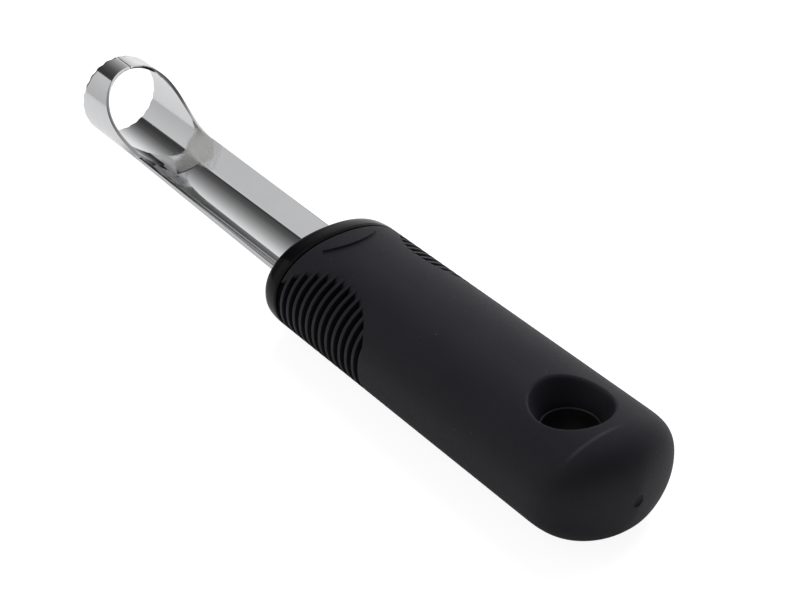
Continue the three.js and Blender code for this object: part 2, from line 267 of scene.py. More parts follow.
def window_turn(x):
    """The turn of the window's outline at x. Past the window it swings back to the row's own turn."""
    inside = np.abs(np.clip(x, window_back, -lip_round) - window_middle) / window_half
    height = window_height * (1 - inside ** window_squareness) ** (1 / window_squareness)
    turn = np.arcsin((height / half_thickness) ** (squareness / 2))
    return turn + (window_row - turn) * ramp((window_back - x) / swing_length)


points = places(grip)
height, size = points[:, 2] - axis_height, size_on_oval(points)
turn = np.abs(turn_of(points[:, 1], height))
folded = np.minimum(turn, math.pi - turn)
edge = window_turn(points[:, 0])
slid = np.where(folded <= window_row + 1e-6, folded * edge / window_row,
                quarter - (quarter - folded) * (quarter - edge) / (quarter - window_row))
y, z = oval(slid)
slid_points = np.stack([points[:, 0], np.sign(points[:, 1]) * y * size,
                        axis_height + np.sign(height) * z * size], 1)
on_skin = (size > 0.9) & (points[:, 0] > slide_end)
move_points(grip, np.where(on_skin[:, None], slid_points, points))
print("window row starts at", round(math.degrees(window_turn(-lip_round)), 1), "degrees at the lip")

# %% Press the grooves in
groove_depth, groove_rise, run_out, least_depth = 3 * mm, 0.6 * mm, 0.3, 0.02
middles = places(grip, "FACE")
wanted = np.zeros(len(middles), bool)
for i, face in enumerate(grip.data.polygons):
    in_groove = any(back < middles[i, 0] < front for back, front in groove_edges)
    corners = list(face.vertices)
    wanted[i] = in_groove and on_skin[corners].all() and (folded[corners] <= window_row + 1e-4).all()
pick(grip, "FACE", wanted)
bpy.ops.mesh.extrude_region_move(TRANSFORM_OT_translate={"value": (0, 0, 0)})
sunk = selected(grip, "VERT")
points = places(grip)
side, height = points[sunk, 1], points[sunk, 2] - axis_height
to_outline = turn_of(np.abs(side), np.abs(height)) / window_turn(points[sunk, 0])
depth = least_depth + (1 - least_depth) * ramp((1 - to_outline) / run_out)
points[sunk, 1] = side * (1 - depth * groove_depth / half_width)
points[sunk, 2] = axis_height + height * (1 - depth * groove_rise / half_thickness)
move_points(grip, points)
print(wanted.sum(), "faces pressed in for", groove_count, "grooves on each side")

# %% Round the fins' edges
def sharp_edges(piece, degrees):
    """Which edges of a piece are sharper than an angle."""
    bpy.ops.object.mode_set(mode="EDIT")
    bpy.ops.mesh.select_mode(type="EDGE")
    bpy.ops.mesh.select_all(action="DESELECT")
    bpy.ops.mesh.edges_select_sharp(sharpness=math.radians(degrees))
    return selected(piece, "EDGE")


def round_edges(piece, wanted, offset, segments):
    """Bevels the wanted edges of a piece."""
    pick(piece, "EDGE", wanted)
    bpy.ops.mesh.bevel(offset=offset, segments=segments, affect="EDGES", clamp_overlap=True)
    bpy.ops.object.mode_set(mode="OBJECT")


fin_bevel = 0.17 * mm
middles = places(grip, "EDGE")
fin_edges = sharp_edges(grip, 40) & (size_on_oval(middles) > 0.99)
fin_edges &= (middles[:, 0] < -0.9 * lip_round) & (middles[:, 0] > -30 * mm)
round_edges(grip, fin_edges, fin_bevel, 3)
print(fin_edges.sum(), "fin edges rounded")

# %% [markdown]
# ## The flat strip, the badge, the gate mark and the tail's crease
# Underneath, a flat strip lets the tool lie still: its points are scaled to one height. On top, behind
# the collar, is a raised lens-shaped badge, which stays bare here. At the tail's very end is a dimple
# from the moulding gate, and a faint crease crosses part of the top where two halves of the mould met.
# These marks need small faces. The crease has close stops already, and the other two are cut finer. Then
# weights are painted on the points, and a Displace modifier moves them.

# %% Flatten the strip underneath
def flatten_strip(piece):
    """Scales the points that lie under the surface up to its height."""
    pick(piece, "VERT", places(piece)[:, 2] < 1e-7)
    bpy.ops.transform.resize(value=(1, 1, 0), center_override=(0, 0, 0))
    bpy.ops.object.mode_set(mode="OBJECT")


flatten_strip(grip)
print("lowest point of the grip:", round(places(grip)[:, 2].min() / mm, 4), "mm")

# %% Two helpers for marks
def cut_finer(piece, wanted, cuts):
    """Subdivides the wanted faces."""
    pick(piece, "FACE", wanted)
    bpy.ops.mesh.subdivide(number_cuts=cuts)
    bpy.ops.object.mode_set(mode="OBJECT")


def press(piece, name, weights, depth):
    """Moves points inwards along their normals, by a depth times their weight."""
    bpy.context.view_layer.objects.active = piece
    group = piece.vertex_groups.new(name=name)
    for i in np.flatnonzero(weights > 1e-4):
        group.add([int(i)], float(weights[i]), "REPLACE")
    bpy.ops.object.modifier_add(type="DISPLACE")
    marks = piece.modifiers[-1]
    marks.vertex_group, marks.strength, marks.mid_level = name, -depth, 0
    bpy.ops.object.modifier_apply(modifier=marks.name)
    piece.vertex_groups.clear()


print("marks are pressed by painted weights")

# %% Raise the badge
lens_across, lens_along, lens_x, lens_height = 14 * mm, 4.6 * mm, -3.2 * mm, 0.5 * mm
lens_margin, lens_rim, lens_flank = 0.8 * mm, 0.3 * mm, 0.14 * mm
lens_radius = (lens_across ** 2 + lens_along ** 2) / 4 / lens_along
lens_shift = lens_radius - lens_along / 2


def inside_lens(points):
    """How far inside the lens's outline points are, seen from above."""
    return np.minimum(lens_radius - np.hypot(points[:, 0] - lens_x - lens_shift, points[:, 1]),
                      lens_radius - np.hypot(points[:, 0] - lens_x + lens_shift, points[:, 1]))


def on_top(points):
    """Which points lie on the skin's upper side."""
    return (points[:, 2] > axis_height + 9 * mm) & (size_on_oval(points) > 0.97)


middles = places(grip, "FACE")
cut_finer(grip, on_top(middles) & (inside_lens(middles) > -lens_margin), 4)
middles = places(grip, "FACE")
cut_finer(grip, on_top(middles) & (np.abs(inside_lens(middles)) < lens_rim), 3)
points = places(grip)
press(grip, "badge", ramp(inside_lens(points) / lens_flank) * on_top(points), -lens_height)
print("raised badge", lens_across / mm, "by", lens_along / mm, "mm")

# %% Gate mark and crease
gate_radius, gate_depth = 1.25 * mm, 0.5 * mm
crease_x, crease_width, crease_height = -86.1 * mm, 0.45 * mm, 0.17 * mm


def off_axis(points):
    """How far points are from the handle's axis."""
    return np.hypot(points[:, 1], points[:, 2] - axis_height)


def on_crease(points):
    """1 on the crease's line, 0 away from it, with soft ends on the far side, the near side and below."""
    across = np.exp(-((points[:, 0] - crease_x) / crease_width) ** 2)
    ends = ramp((points[:, 1] + 4 * mm) / (7 * mm)) * ramp((12.5 * mm - points[:, 1]) / (4 * mm))
    return across * ends * ramp((points[:, 2] - axis_height) / (6 * mm))


middles = places(grip, "FACE")
cut_finer(grip, (middles[:, 0] < grip_end + 0.9 * mm) & (off_axis(middles) < 2.4 * mm), 2)
points = places(grip)
dimple = np.sqrt(np.clip(1 - (off_axis(points) / gate_radius) ** 2, 0, 1))
press(grip, "gate_mark", dimple * (points[:, 0] < grip_end + 1.2 * mm), gate_depth)
press(grip, "crease", on_crease(places(grip)), -crease_height)
print("gate mark and crease pressed")

# %% [markdown]
# ## The hanging hole
# The hole goes through the handle near its tail and flares out at both faces, like a trumpet's bell.
# A boolean with a cone would leave a knife edge at the rim. Instead a square of faces is deleted on each
# side, and its border is extruded inwards ring by ring, onto a curve that leaves the skin softly.
# A bridge between the two last rings, hidden behind the core's eye, closes the skin.

# %% The curve of the flare
throat, mouth, plate_height, soft = 5.9 * mm, 8.6 * mm, 5.5 * mm, 0.9 * mm


def skin_and_wall(x, y, radius, face):
    """The heights over the axis of the skin at x and y, and of the flared wall at a radius."""
    across = np.minimum(np.abs(y) / half_width / np.maximum(plan_share(x), 1e-6), 1)
    skin = half_thickness * side_share(x) * (1 - across ** squareness) ** (1 / squareness)
    if face < 0:
        skin = np.minimum(skin, axis_height)
    return skin, plate_height + (radius - throat) / (mouth - throat) * (half_thickness - plate_height)


def mouth_height(x, y, radius, face):
    """The height of the skin at x and y, flowing softly into the flared wall."""
    skin, wall = skin_and_wall(x, y, radius, face)
    near = np.clip(1 - np.abs(skin - wall) / soft, 0, 1)
    return np.minimum(skin, wall) - near * near * soft / 4


print("hole", 2 * throat / mm, "mm at the throat,", 2 * mouth / mm, "mm at the mouths")

# %% Open the faces and sink the two mouths
square_half, first_circle, tuck = 10.4 * mm, 9.6 * mm, 0.4 * mm
rings = [(share, first_circle) for share in (0.4, 0.7, 1)]
rings += [(1, r * mm) for r in (9.3, 9.1, 8.95, 8.8, 8.65, 8.5, 8.35, 8.2, 8.0, 7.7, 7.2, 6.6, 5.9, 5.85)]


def select_open_edges():
    """Selects the edges that have a face on one side only. Needs edit mode."""
    bpy.ops.mesh.select_mode(type="EDGE")
    bpy.ops.mesh.select_all(action="DESELECT")
    bpy.ops.mesh.select_non_manifold(use_wire=False, use_multi_face=False, use_non_contiguous=False,
                                     use_verts=False)


middles = places(grip, "FACE")
pick(grip, "FACE", (np.abs(middles[:, 0] - hole_x) < square_half) & (np.abs(middles[:, 1]) < square_half))
bpy.ops.mesh.delete(type="FACE")
for face in (1, -1):
    select_open_edges()
    border = selected(grip, "EDGE")
    middles = places(grip, "EDGE")
    border &= (middles[:, 2] - axis_height) * face > 0
    pick(grip, "EDGE", border & (np.abs(middles[:, 0] - hole_x) < 1.2 * square_half))
    for share, circle in rings:
        bpy.ops.mesh.extrude_edges_move(TRANSFORM_OT_translate={"value": (0, 0, 0)})
        moved = selected(grip, "VERT")
        points = places(grip)
        away = points[moved][:, :2] - [hole_x, 0]
        far = np.hypot(*away.T)
        radius = far + (circle - far) * share
        x, y = (away / far[:, None] * radius[:, None]).T
        height = mouth_height(hole_x + x, y, radius, face) - (tuck if circle < throat else 0)
        points[moved] = np.stack([hole_x + x, y, axis_height + face * height], 1)
        move_points(grip, points)
        bpy.ops.object.mode_set(mode="EDIT")
select_open_edges()
bpy.ops.mesh.bridge_edge_loops()
face_outwards()
bpy.ops.object.shade_smooth_by_angle(angle=math.radians(42))
print("grip:", len(grip.data.polygons), "faces, with the hole through it")

# %% Mark where the rubber gets a painted highlight
def store(piece, name, domain, values):
    """Keeps a number on each point or face, for a material to read."""
    kept = piece.data.attributes.new(name, "FLOAT", domain)
    kept.data.foreach_set("value", values.astype(np.float32))


# Painted highlight: the crease and the hole's rim are stored to be drawn paler, for the light their rounded
# edges catch.
rim_width, rim_highlight = 0.35 * mm, 0.7
points = places(grip)
radius = np.hypot(points[:, 0] - hole_x, points[:, 1])
skin, wall = skin_and_wall(points[:, 0], points[:, 1], radius, 1)
on_rim = np.exp(-((skin - wall) / rim_width) ** 2) * (points[:, 2] > axis_height)
store(grip, "painted_highlight", "POINT", np.maximum(on_crease(points), rim_highlight * on_rim))
print("worn points:", (on_rim > 0.5).sum(), "on the rim,", (on_crease(points) > 0.5).sum(), "on the crease")

# %% [markdown]
# ## The collar
# The glossy band in front of the grip is a hard moulding with a rounded front edge, and a spigot that
# plugs the grip's mouth. It is drawn out of the same oval, so its sides line up with the grip's. A low
# land on its back face meets the grip, so that no light shows through the joint.
# The slot for the shank is cut later, with a slightly thicker copy of the shank.

# %% Draw the collar out
collar_back, collar_front, collar_round, round_length = 0.1 * mm, 5 * mm, 0.8 * mm, 4.3 * mm
spigot_length, spigot_shares, land = 3.4 * mm, (0.7, 0.63), 0.005 * mm
collar_stops = [(-spigot_length, *spigot_shares), (land, *spigot_shares), inset_stop(land, 0.8 * mm)]
for forwards, inwards in ((0, 0.3), (0.09, 0.09), (0.3, 0)):
    collar_stops.append(inset_stop(collar_back + forwards * mm, inwards * mm))
for a in np.radians(np.linspace(6, 90, 22)):
    collar_stops.append(inset_stop(collar_front - round_length * (1 - math.sin(a)),
                                   collar_round * (1 - math.cos(a))))
collar_stops += [inset_stop(collar_front, collar_round + inwards * mm) for inwards in (0.4, 1.5, 4)]
collar = oval_ring("gloss_collar", *collar_stops[0])
draw_out(collar_stops)
bpy.ops.mesh.edge_face_add()
bpy.ops.object.mode_set(mode="OBJECT")
flatten_strip(collar)
face_outwards()
print("collar:", len(collar.data.polygons), "faces")

# %% [markdown]
# ## How the sheet is rolled
# The blade is one piece of 0.8 mm stainless sheet. From the front: a closed ring with a seam on top, a
# round trough whose rims sweep down, a short ramp, and a wide shallow shank that runs into the handle.
# Two rules give every cross-section: one for the circle of ring and trough, and one for the shank, a
# shallow floor with a bend and a leaning wall on each side. On the ramp the sheet passes from one to the
# other. A share of -1 to 1 says how far across the sheet a point lies. Lengths here are millimetres.

# %% The shank's rule
floor_radius, floor_turn, bend_radius, shank_depth = 11.963, 0.436, 3.8, 5.25
shank_start, shank_length, rim_heights, wall_leans = 5.3, 60.2, (-0.04, 1.3), (0.696, 0.888)
bend_side = (floor_radius - bend_radius) * math.sin(floor_turn)
bend_height = floor_radius - shank_depth - (floor_radius - bend_radius) * math.cos(floor_turn)


def mix(a, b, t):
    """The value that lies a share of the way from a to b."""
    return a + (b - a) * t


def shank_place(x, share, grow=0, out=0):
    """The place (y, height over the axis) on the shank, with wider edges or moved out by a length."""
    rise = np.maximum(x - shank_start, 0) / shank_length
    rim, wall = mix(*rim_heights, rise), mix(*wall_leans, rise)
    floor = floor_radius * floor_turn
    flat_wall = (rim - bend_height + bend_radius * np.cos(wall)) / np.sin(wall)
    length = np.abs(share) * (floor + bend_radius * (wall - floor_turn) + flat_wall + grow)
    turn, swung = length / floor_radius, floor_turn + (length - floor) / bend_radius
    bent = np.minimum(swung, wall)
    flat = (swung - bent) * bend_radius
    y = np.where(length < floor, (floor_radius + out) * np.sin(turn),
                 bend_side + (bend_radius + out) * np.sin(bent) + flat * np.cos(bent))
    z = np.where(length < floor, floor_radius - shank_depth - (floor_radius + out) * np.cos(turn),
                 bend_height - (bend_radius + out) * np.cos(bent) + flat * np.sin(bent))
    return y, z


y, z = shank_place(np.array(shank_start), np.array(1.0))
print("shank at the collar:", round(2 * float(y), 1), "mm wide,",
      "its rims", round(float(z), 2), "mm over the axis")

# %% The ring's rule, and the passage between the two
sheet_thickness, ring_radius, ring_height, ring_back, blade_front = 0.8, 10.1, 5.25, 87.7, 94.2
half_seam, ramp_top, ramp_length = 0.125, 71.8, 6
ring_top = ring_height + ring_radius


def ring_place(rim, share, out=0):
    """The place on the circle of the ring and the trough, which is open above its rims."""
    opened = np.arccos(np.clip((ring_height - rim) / ring_radius, -1, 1))
    turn = np.abs(share) * np.minimum(opened, math.pi - half_seam / ring_radius)
    return (ring_radius + out) * np.sin(turn), ring_height - (ring_radius + out) * np.cos(turn)


def straight_ramp(t, soft=0.15):
    """0 to 1 in a straight line, with short soft ends."""
    t = np.clip(t, 0, 1)
    end = np.minimum(t, 1 - t)
    risen = np.where(end < soft, end * end / (2 * soft), end - soft / 2) / (1 - soft)
    return np.where(t < 0.5, risen, 1 - risen)


def rolled(x, rim, share, grow=0, out=0):
    """The place on the sheet at x: the shank's below the ramp, the ring's above it."""
    drop = straight_ramp((ramp_top - x) / ramp_length)
    (y0, z0), (y1, z1) = ring_place(rim, share, out), shank_place(x, share, grow, out)
    return np.sign(share) * mix(y0, y1, drop), mix(z0, z1, drop)


print("ring", 2 * ring_radius, "mm outside,", round(2 * (ring_radius - sheet_thickness), 1), "mm inside")

# %% Rows of the sheet along its length
tooth_reach = 1.6
t = np.linspace(0, 1, 2001)[:, None]
sweep = np.array([[62.1, 1.3], [77.4, 1.62], [82.2, 6.1], [ring_back, ring_top]])
swept = ((1 - t) ** 3 * sweep[0] + 3 * t * (1 - t) ** 2 * sweep[1] + 3 * t * t * (1 - t) * sweep[2]
         + t ** 3 * sweep[3])
on_shank = np.concatenate([[-40, -20, 0], np.arange(shank_start, 64, 2.4)])
on_ramp = np.arange(64.6, 73.9, 0.2)
on_sweep = ring_back - (ring_back - 74) * (1 - np.linspace(0, 1, 64)) ** 1.9
on_ring = np.concatenate([np.arange(88.2, 92.5, 0.5), np.linspace(blade_front - tooth_reach, blade_front, 9)])
rows_x = np.concatenate([on_shank, on_ramp, on_sweep, on_ring])
rows = np.stack([rows_x, np.interp(rows_x, swept[:, 0], swept[:, 1])], 1)
print(len(rows), "rows of points along the sheet")

# %% [markdown]
# ## Rolling the blade
# A flat grid is the blank. Its rows are spread along the blade and its columns across the sheet, from
# rim to rim, and then the rules roll it, as the press tool does. At the very front the sheet is honed to
# a thin edge, and the edge is cut into scallops that saw into the fruit. Solidify gives the wall,
# thinner at the edge by painted weights, and a fine bevel makes the rims catch the light.

# %% Roll a blank
tooth_count, tooth_depth = 24, 0.35
hone_length, hone_inset, hone_loss = 0.6, 0.1, 0.625


def rolled_sheet(name, rows, columns, grow=0):
    """A grid rolled by the rules, one row for each x and rim, and the share of the wall at each point."""
    clear_selection()
    bpy.ops.mesh.primitive_grid_add(x_subdivisions=len(rows) - 1, y_subdivisions=columns, size=1)
    piece = bpy.context.object
    piece.name = piece.data.name = name
    points = places(piece)
    row = np.rint((points[:, 0] + 0.5) * (len(rows) - 1)).astype(int)
    share = 2 * points[:, 1]
    x, rim = rows[row, 0], rows[row, 1]
    front, honed = (np.clip((x - blade_front) / length + 1, 0, 1) for length in (tooth_reach, hone_length))
    y, z = rolled(x, rim, share, grow, grow - hone_inset * honed)
    tooth = 0.5 - 0.5 * np.cos(2 * math.pi * tooth_count * (share + 1) / 2)
    move_points(piece, np.stack([x - tooth_depth * tooth * front, y, z + axis_height / mm], 1) * mm)
    bpy.ops.object.mode_set(mode="EDIT")
    bpy.ops.mesh.select_all(action="SELECT")
    bpy.ops.mesh.flip_normals()
    bpy.ops.object.mode_set(mode="OBJECT")
    return piece, 1 - hone_loss * honed


blade, blade_wall = rolled_sheet("rolled_blade", rows, 192)
print("blank rolled:", len(blade.data.polygons), "faces")

# %% Give the sheet its thickness and fine edges
def thicken(piece, wall, thickness):
    """Solidify inwards, with the wall's own share of the thickness at each point."""
    bpy.context.view_layer.objects.active = piece
    group = piece.vertex_groups.new(name="wall")
    for share in np.unique(wall):
        group.add([int(i) for i in np.flatnonzero(wall == share)], float(share), "REPLACE")
    bpy.ops.object.modifier_add(type="SOLIDIFY")
    shell = piece.modifiers[-1]
    shell.thickness, shell.offset, shell.use_even_offset = thickness * mm, -1, True
    shell.vertex_group = "wall"
    bpy.ops.object.modifier_apply(modifier=shell.name)
    piece.vertex_groups.clear()


rim_bevel = 0.1 * mm
thicken(blade, blade_wall, sheet_thickness)
rims = sharp_edges(blade, 50)
round_edges(blade, rims, rim_bevel, 2)
bpy.ops.object.shade_smooth_by_angle(angle=math.radians(38))
store(blade, "upper_face", "FACE", numbers(blade.data.polygons, "normal", 3)[:, 2] > 0)
print("blade:", len(blade.data.polygons), "faces,", rims.sum(), "rim edges softened")

# %% Cut the shank's slot in the collar
slot_gap, merge_length = 0.1, 0.002 * mm
slot_rows = np.array([[x, 1] for x in np.linspace(-6, 7, 6)])
cutter, cutter_wall = rolled_sheet("shank_cutter", slot_rows, 64, slot_gap)
thicken(cutter, cutter_wall, sheet_thickness + 2 * slot_gap)
bpy.context.view_layer.objects.active = collar
bpy.ops.object.modifier_add(type="BOOLEAN")
slot_cut = collar.modifiers[-1]
slot_cut.object, slot_cut.operation, slot_cut.solver = cutter, "DIFFERENCE", "EXACT"
bpy.ops.object.modifier_apply(modifier=slot_cut.name)
bpy.data.objects.remove(cutter)
clear_selection()
collar.select_set(True)
bpy.context.view_layer.objects.active = collar
bpy.ops.object.mode_set(mode="EDIT")
bpy.ops.mesh.select_all(action="SELECT")
bpy.ops.mesh.remove_doubles(threshold=merge_length)
bpy.ops.mesh.dissolve_degenerate(threshold=merge_length)
bpy.ops.object.mode_set(mode="OBJECT")
bpy.ops.object.shade_smooth_by_angle(angle=math.radians(35))
print("collar with its slot:", len(collar.data.polygons), "faces")

# %% [markdown]
# ## The core
# The hard core hides inside the handle and shows only as a ring half way down the hanging hole, where
# its edge catches a thin arc of light. The CAD node has the right shape but a knife edge there. A copy
# of its mesh is merged, so that its loose triangles share points, and its eye gets a rounded edge.

# %% Copy the core and round its eye
clear_selection()
core_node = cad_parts["handle_core"]
core = core_node.copy()
core.data = core_node.data.copy()
core.name = core.data.name = "hard_core"
for key in list(core.keys()):
    del core[key]
core.parent = None
bpy.context.scene.collection.objects.link(core)
core.select_set(True)
bpy.context.view_layer.objects.active = core
bpy.ops.object.mode_set(mode="EDIT")
bpy.ops.mesh.select_all(action="SELECT")
bpy.ops.mesh.remove_doubles(threshold=0.005 * mm)
bpy.ops.mesh.dissolve_limited(angle_limit=math.radians(1))
bpy.ops.object.mode_set(mode="OBJECT")
eye_bevel = 0.4 * mm
middles = places(core, "EDGE")
eye = sharp_edges(core, 50) & (np.hypot(middles[:, 0] - hole_x, middles[:, 1]) < throat)
round_edges(core, eye, eye_bevel, 4)
bpy.ops.object.shade_smooth_by_angle(angle=math.radians(30))
print("core:", len(core.data.polygons), "faces,", eye.sum(), "edges of its eye rounded")

# %% [markdown]
# ## Patterns that the finishes share
# Moulded rubber and plastic both have a fine grain, and both collect dust. Each effect is a node group,
# built once and used with other values in each material. Patterns read Object coordinates, which are
# metres here, so a scale of 2000 makes grains about half a millimetre wide.

# %% Helpers for nodes
def add(tree, kind, values=None, **settings):
    """A new node with some settings, and values or links for its inputs."""
    node = tree.nodes.new(kind)
    for key, value in settings.items():
        setattr(node, key, value)
    for key, value in (values or {}).items():
        if isinstance(value, bpy.types.NodeSocket):
            tree.links.new(value, node.inputs[key])
        else:
            node.inputs[key].default_value = value
    return node


def worked_out(tree, operation, *values):
    """The result of a Math node."""
    return add(tree, "ShaderNodeMath", dict(enumerate(values)), operation=operation).outputs["Value"]


def rising(tree, value, low, high, shape="LINEAR"):
    """0 to 1 as a value goes from low to high."""
    return add(tree, "ShaderNodeMapRange", {"Value": value, "From Min": low, "From Max": high},
               interpolation_type=shape).outputs["Result"]


def between(tree, mask, low, high):
    """A number that goes from low to high with a mask."""
    return add(tree, "ShaderNodeMapRange", {"Value": mask, "To Min": low, "To Max": high}).outputs["Result"]


def tinted(tree, mask, low, high):
    """A colour that goes from low to high with a mask. Either may be a link."""
    low, high = (c if isinstance(c, bpy.types.NodeSocket) else (*c, 1) for c in (low, high))
    return add(tree, "ShaderNodeMix", {"Factor": mask, 6: low, 7: high}, data_type="RGBA").outputs[2]


def object_place(tree):
    """The Object coordinates."""
    return add(tree, "ShaderNodeTexCoord").outputs["Object"]


print("node helpers are ready")

# %% The grain group and the dust group
def new_group(name, inputs, outputs):
    """An empty shader node group with number inputs and outputs, and its two end nodes."""
    group = bpy.data.node_groups.new(name, "ShaderNodeTree")
    for label, value in inputs:
        group.interface.new_socket(label, in_out="INPUT", socket_type="NodeSocketFloat").default_value = value
    for label in outputs:
        group.interface.new_socket(label, in_out="OUTPUT", socket_type="NodeSocketFloat")
    return group, group.nodes.new("NodeGroupInput"), group.nodes.new("NodeGroupOutput")


grain_group, start, end = new_group("moulded_grain", [("Scale", 2000)], ["Height", "Patches"])
coords = object_place(grain_group)
fine = add(grain_group, "ShaderNodeTexNoise", {"Vector": coords, "Scale": start.outputs["Scale"], "Detail": 3})
broad = add(grain_group, "ShaderNodeTexNoise", {"Vector": coords, "Scale": 55, "Detail": 4, "Roughness": 0.6})
grain_group.links.new(fine.outputs["Fac"], end.inputs["Height"])
grain_group.links.new(broad.outputs["Fac"], end.inputs["Patches"])

dust_group, start, end = new_group("loose_dust", [("Scale", 600), ("Amount", 0.1)], ["Specks"])
cells = add(dust_group, "ShaderNodeTexVoronoi", {"Vector": object_place(dust_group),
                                                 "Scale": start.outputs["Scale"]})
tint = add(dust_group, "ShaderNodeSeparateColor", {"Color": cells.outputs["Color"]})
close = add(dust_group, "ShaderNodeMapRange", {"Value": cells.outputs["Distance"], "From Min": 0.03,
                                               "From Max": 0.09, "To Min": 1, "To Max": 0}).outputs["Result"]
rare = worked_out(dust_group, "LESS_THAN", tint.outputs["Red"], start.outputs["Amount"])
dust_group.links.new(worked_out(dust_group, "MULTIPLY", close, rare), end.inputs["Specks"])
print("groups:", grain_group.name, "and", dust_group.name)

# %% [markdown]
# ## Soft rubber
# The grip is a soft charcoal rubber: matte, very slightly blue, with a skin that breaks up highlights.
# Its colour drifts a little from patch to patch, and a few pale specks of dust sit on it, as on any
# rubber that has been handled. The crease and the hole's rim are drawn a little paler as a painted
# highlight, for the light that their rounded edges catch: numbers stored on the points say where. The grain
# feeds the roughness and a faint bump.

# %% The rubber's nodes
def new_material(name):
    """A material with its Principled shader, ready for nodes."""
    material = bpy.data.materials.new(name)
    material.use_nodes = True
    return material, material.node_tree, material.node_tree.nodes["Principled BSDF"]


def stored(tree, name):
    """The number that was stored on a piece under a name."""
    return add(tree, "ShaderNodeAttribute", attribute_name=name).outputs["Fac"]


def set_bump(tree, shader, height, strength, distance):
    """Lets a height pattern tilt the surface."""
    bump = add(tree, "ShaderNodeBump", {"Strength": strength, "Distance": distance, "Height": height})
    tree.links.new(bump.outputs["Normal"], shader.inputs["Normal"])


def patched(tree, grain, dark, pale):
    """A colour that drifts between two tones from patch to patch."""
    return tinted(tree, between(tree, grain.outputs["Patches"], -0.6, 1.6), dark, pale)


rubber, tree, shader = new_material("charcoal_rubber")
grain = add(tree, "ShaderNodeGroup", {"Scale": 2200}, node_tree=grain_group)
dust = add(tree, "ShaderNodeGroup", {"Scale": 480, "Amount": 0.09}, node_tree=dust_group)
tone = patched(tree, grain, (0.0122, 0.0118, 0.0165), (0.0172, 0.0166, 0.0228))
# Painted highlight: a paler colour on the crease and the hole's rim.
paler = tinted(tree, stored(tree, "painted_highlight"), tone, (0.036, 0.035, 0.045))
tree.links.new(tinted(tree, dust.outputs["Specks"], paler, (0.1, 0.1, 0.105)), shader.inputs["Base Color"])
tree.links.new(between(tree, grain.outputs["Height"], 0.5, 0.68), shader.inputs["Roughness"])
set_bump(tree, shader, grain.outputs["Height"], 0.25, 0.06 * mm)
shader.inputs["Specular IOR Level"].default_value = 0.32
print("material:", rubber.name)

# %% [markdown]
# ## Gloss and satin plastic
# The collar is hard black plastic, smooth enough to mirror the lights softly. The core is the same
# plastic left satin. Both use the shared groups, with less grain and a little more dust on the collar.

# %% The two plastics
def black_plastic(name, tones, roughness, bump_strength, dust_amount, shine):
    """A hard black plastic between two tones and two roughnesses, with more or less shine."""
    material, tree, shader = new_material(name)
    grain = add(tree, "ShaderNodeGroup", {"Scale": 2500}, node_tree=grain_group)
    dust = add(tree, "ShaderNodeGroup", {"Scale": 420, "Amount": dust_amount}, node_tree=dust_group)
    dusty = tinted(tree, dust.outputs["Specks"], patched(tree, grain, *tones), (0.07, 0.07, 0.07))
    tree.links.new(dusty, shader.inputs["Base Color"])
    tree.links.new(between(tree, grain.outputs["Patches"], *roughness), shader.inputs["Roughness"])
    set_bump(tree, shader, grain.outputs["Height"], bump_strength, 0.04 * mm)
    shader.inputs["Specular IOR Level"].default_value = shine
    return material


collar_gloss = black_plastic("gloss_black", tones=((0.004, 0.004, 0.005), (0.006, 0.006, 0.007)),
                             roughness=(0.09, 0.16), bump_strength=0.03, dust_amount=0.05, shine=0.11)
core_satin = black_plastic("satin_black", tones=((0.014, 0.014, 0.016), (0.02, 0.02, 0.022)),
                           roughness=(0.32, 0.46), bump_strength=0.1, dust_amount=0.02, shine=0.5)
print("materials:", collar_gloss.name, "and", core_satin.name)

# %% [markdown]
# ## Polished steel
# The blade is mirror-polished, so nearly all that one sees on it is the room. The polish still leaves
# very fine lines along the blade, which show as faint streaks, and patches that are a touch duller.
# The lines are noise stretched along X with a Mapping node. On the ramp the sheet was stretched, and the
# polishing wheel reached it less well, so a mask makes its far half hazy. Another mask darkens its near
# half in the base colour: that is painted shade, a darker reflection put into the colour. A number
# stored on the faces, upper_face, keeps these marks off the sheet's underside.

# %% Masks on the neck
steel, tree, shader = new_material("polished_steel")
coords = object_place(tree)
position = add(tree, "ShaderNodeSeparateXYZ", {0: coords})
steel_x, steel_y = position.outputs["X"], position.outputs["Y"]
far_wall, wall_spread, bulge_down, bulge_up = 7 * mm, 1.8 * mm, 3.6 * mm, -1.8 * mm


def fade(value, low, high):
    """A mask that goes softly from 0 to 1 as a value goes from low to high, in millimetres."""
    return rising(tree, value, low * mm, high * mm, "SMOOTHSTEP")


def all_of(*masks):
    """The product of some masks, in the tree at hand."""
    whole = masks[0]
    for mask in masks[1:]:
        whole = worked_out(tree, "MULTIPLY", whole, mask)
    return whole


to_wall = worked_out(tree, "DIVIDE", worked_out(tree, "ADD", steel_y, far_wall), wall_spread)
bulge = worked_out(tree, "EXPONENT", worked_out(tree, "MULTIPLY", worked_out(tree, "POWER", to_wall, 2), -1))
past_foot = fade(worked_out(tree, "MULTIPLY_ADD", bulge, bulge_down, steel_x), 66.4, 67.2)
below_top = all_of(fade(worked_out(tree, "MULTIPLY_ADD", bulge, bulge_up, steel_x), 72.6, 71.2),
                 stored(tree, "upper_face"))
haze = all_of(past_foot, below_top, fade(steel_y, 1.2, -2.2))
on_wall = all_of(fade(steel_x, 60.5, 63.2), fade(steel_y, -4.2, -5.8))
blur = worked_out(tree, "MAXIMUM", haze, all_of(on_wall, below_top))
# Painted shade: these masks darken the near half of the neck's floor in the base colour.
past_neck = fade(worked_out(tree, "MULTIPLY_ADD", steel_y, 0.6, steel_x), 61.2, 63.4)
near_floor = all_of(fade(steel_y, -0.4, 1.4), fade(steel_y, 7.5, 5.5))
painted_shade = all_of(past_neck, fade(steel_x, 75.5, 73), near_floor, stored(tree, "upper_face"))
print("masks for haze, blur and burnish")

